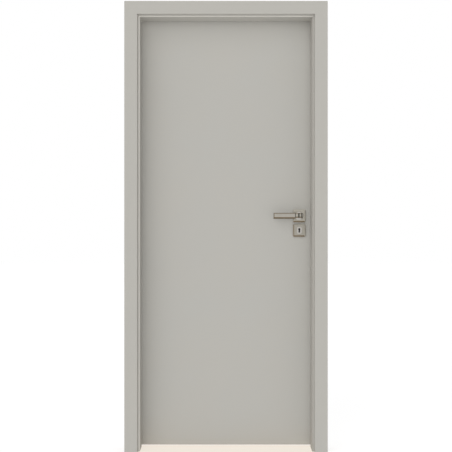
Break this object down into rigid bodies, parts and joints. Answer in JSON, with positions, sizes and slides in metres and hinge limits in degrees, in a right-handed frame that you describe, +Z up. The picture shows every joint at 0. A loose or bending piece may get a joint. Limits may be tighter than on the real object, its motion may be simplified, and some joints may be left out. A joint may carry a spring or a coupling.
{
  "type": "interior door",
  "caption": "Flush rebated interior door leaf on barrel hinges in an adjustable wall-wrapping frame with mitred casings, lever handles on square rosettes and keyed escutcheons.",
  "frame": {"origin": "on the hinge jamb's face against the wall, at floor level, half way along the jamb's depth", "axes": "+X from the hinge side to the lock side, +Y from the push side to the pull side, +Z up"},
  "size_m": [0.946, 0.215, 2.1],
  "materials": {
    "frame_foil": "MDF wrapped in smooth matt warm-grey foil",
    "leaf_foil": "HDF skin with smooth matt warm-grey foil",
    "leaf_edge": "softwood and MDF edge wrapped in the same matt foil",
    "core_board": "raw particle board and softwood, hidden in the leaf",
    "satin_nickel": "zinc alloy plated in satin nickel",
    "hinge_nickel": "steel plated in satin nickel",
    "lock_steel": "zinc-plated and nickel-plated steel",
    "seal_rubber": "soft grey elastomer"
  },
  "bodies": {
    "frame": {"hinge_jamb": "frame_foil", "lock_jamb": "frame_foil", "head_jamb": "frame_foil", "hinge_lining": "frame_foil", "lock_lining": "frame_foil", "head_lining": "frame_foil", "hinge_front_casing": "frame_foil", "lock_front_casing": "frame_foil", "head_front_casing": "frame_foil", "hinge_back_casing": "frame_foil", "lock_back_casing": "frame_foil", "head_back_casing": "frame_foil", "hinge_seal": "seal_rubber", "lock_seal": "seal_rubber", "head_seal": "seal_rubber", "strike_plate": "lock_steel", "lower_hinge_frame_half": "hinge_nickel", "middle_hinge_frame_half": "hinge_nickel", "upper_hinge_frame_half": "hinge_nickel"},
    "leaf": {"hinge_stile": "leaf_edge", "lock_stile": "leaf_edge", "top_rail": "leaf_edge", "bottom_rail": "core_board", "leaf_core": "core_board", "lock_block": "core_board", "front_skin": "leaf_foil", "back_skin": "leaf_foil", "lock_case": "lock_steel", "lock_faceplate": "lock_steel", "latch_bolt": "lock_steel", "dead_bolt": "lock_steel", "front_rosette": "satin_nickel", "back_rosette": "satin_nickel", "front_escutcheon": "satin_nickel", "back_escutcheon": "satin_nickel", "lower_hinge_leaf_half": "hinge_nickel", "middle_hinge_leaf_half": "hinge_nickel", "upper_hinge_leaf_half": "hinge_nickel"},
    "handle": {"front_lever": "satin_nickel", "back_lever": "satin_nickel", "spindle": "lock_steel"}
  },
  "joints": [
    {"name": "door_swing", "type": "hinge", "parent": "frame", "child": "leaf", "pos_m": [0.009, 0.0545, 0], "axis": [0, 0, 1], "range_deg": [0, 170]},
    {"name": "handle_turn", "type": "hinge", "parent": "leaf", "child": "handle", "pos_m": [0.791, 0.042, 1.102], "axis": [0, -1, 0], "range_deg": [0, 45], "stiffness_Nm_per_rad": 1.2, "springref_deg": -34.38}
  ]
}
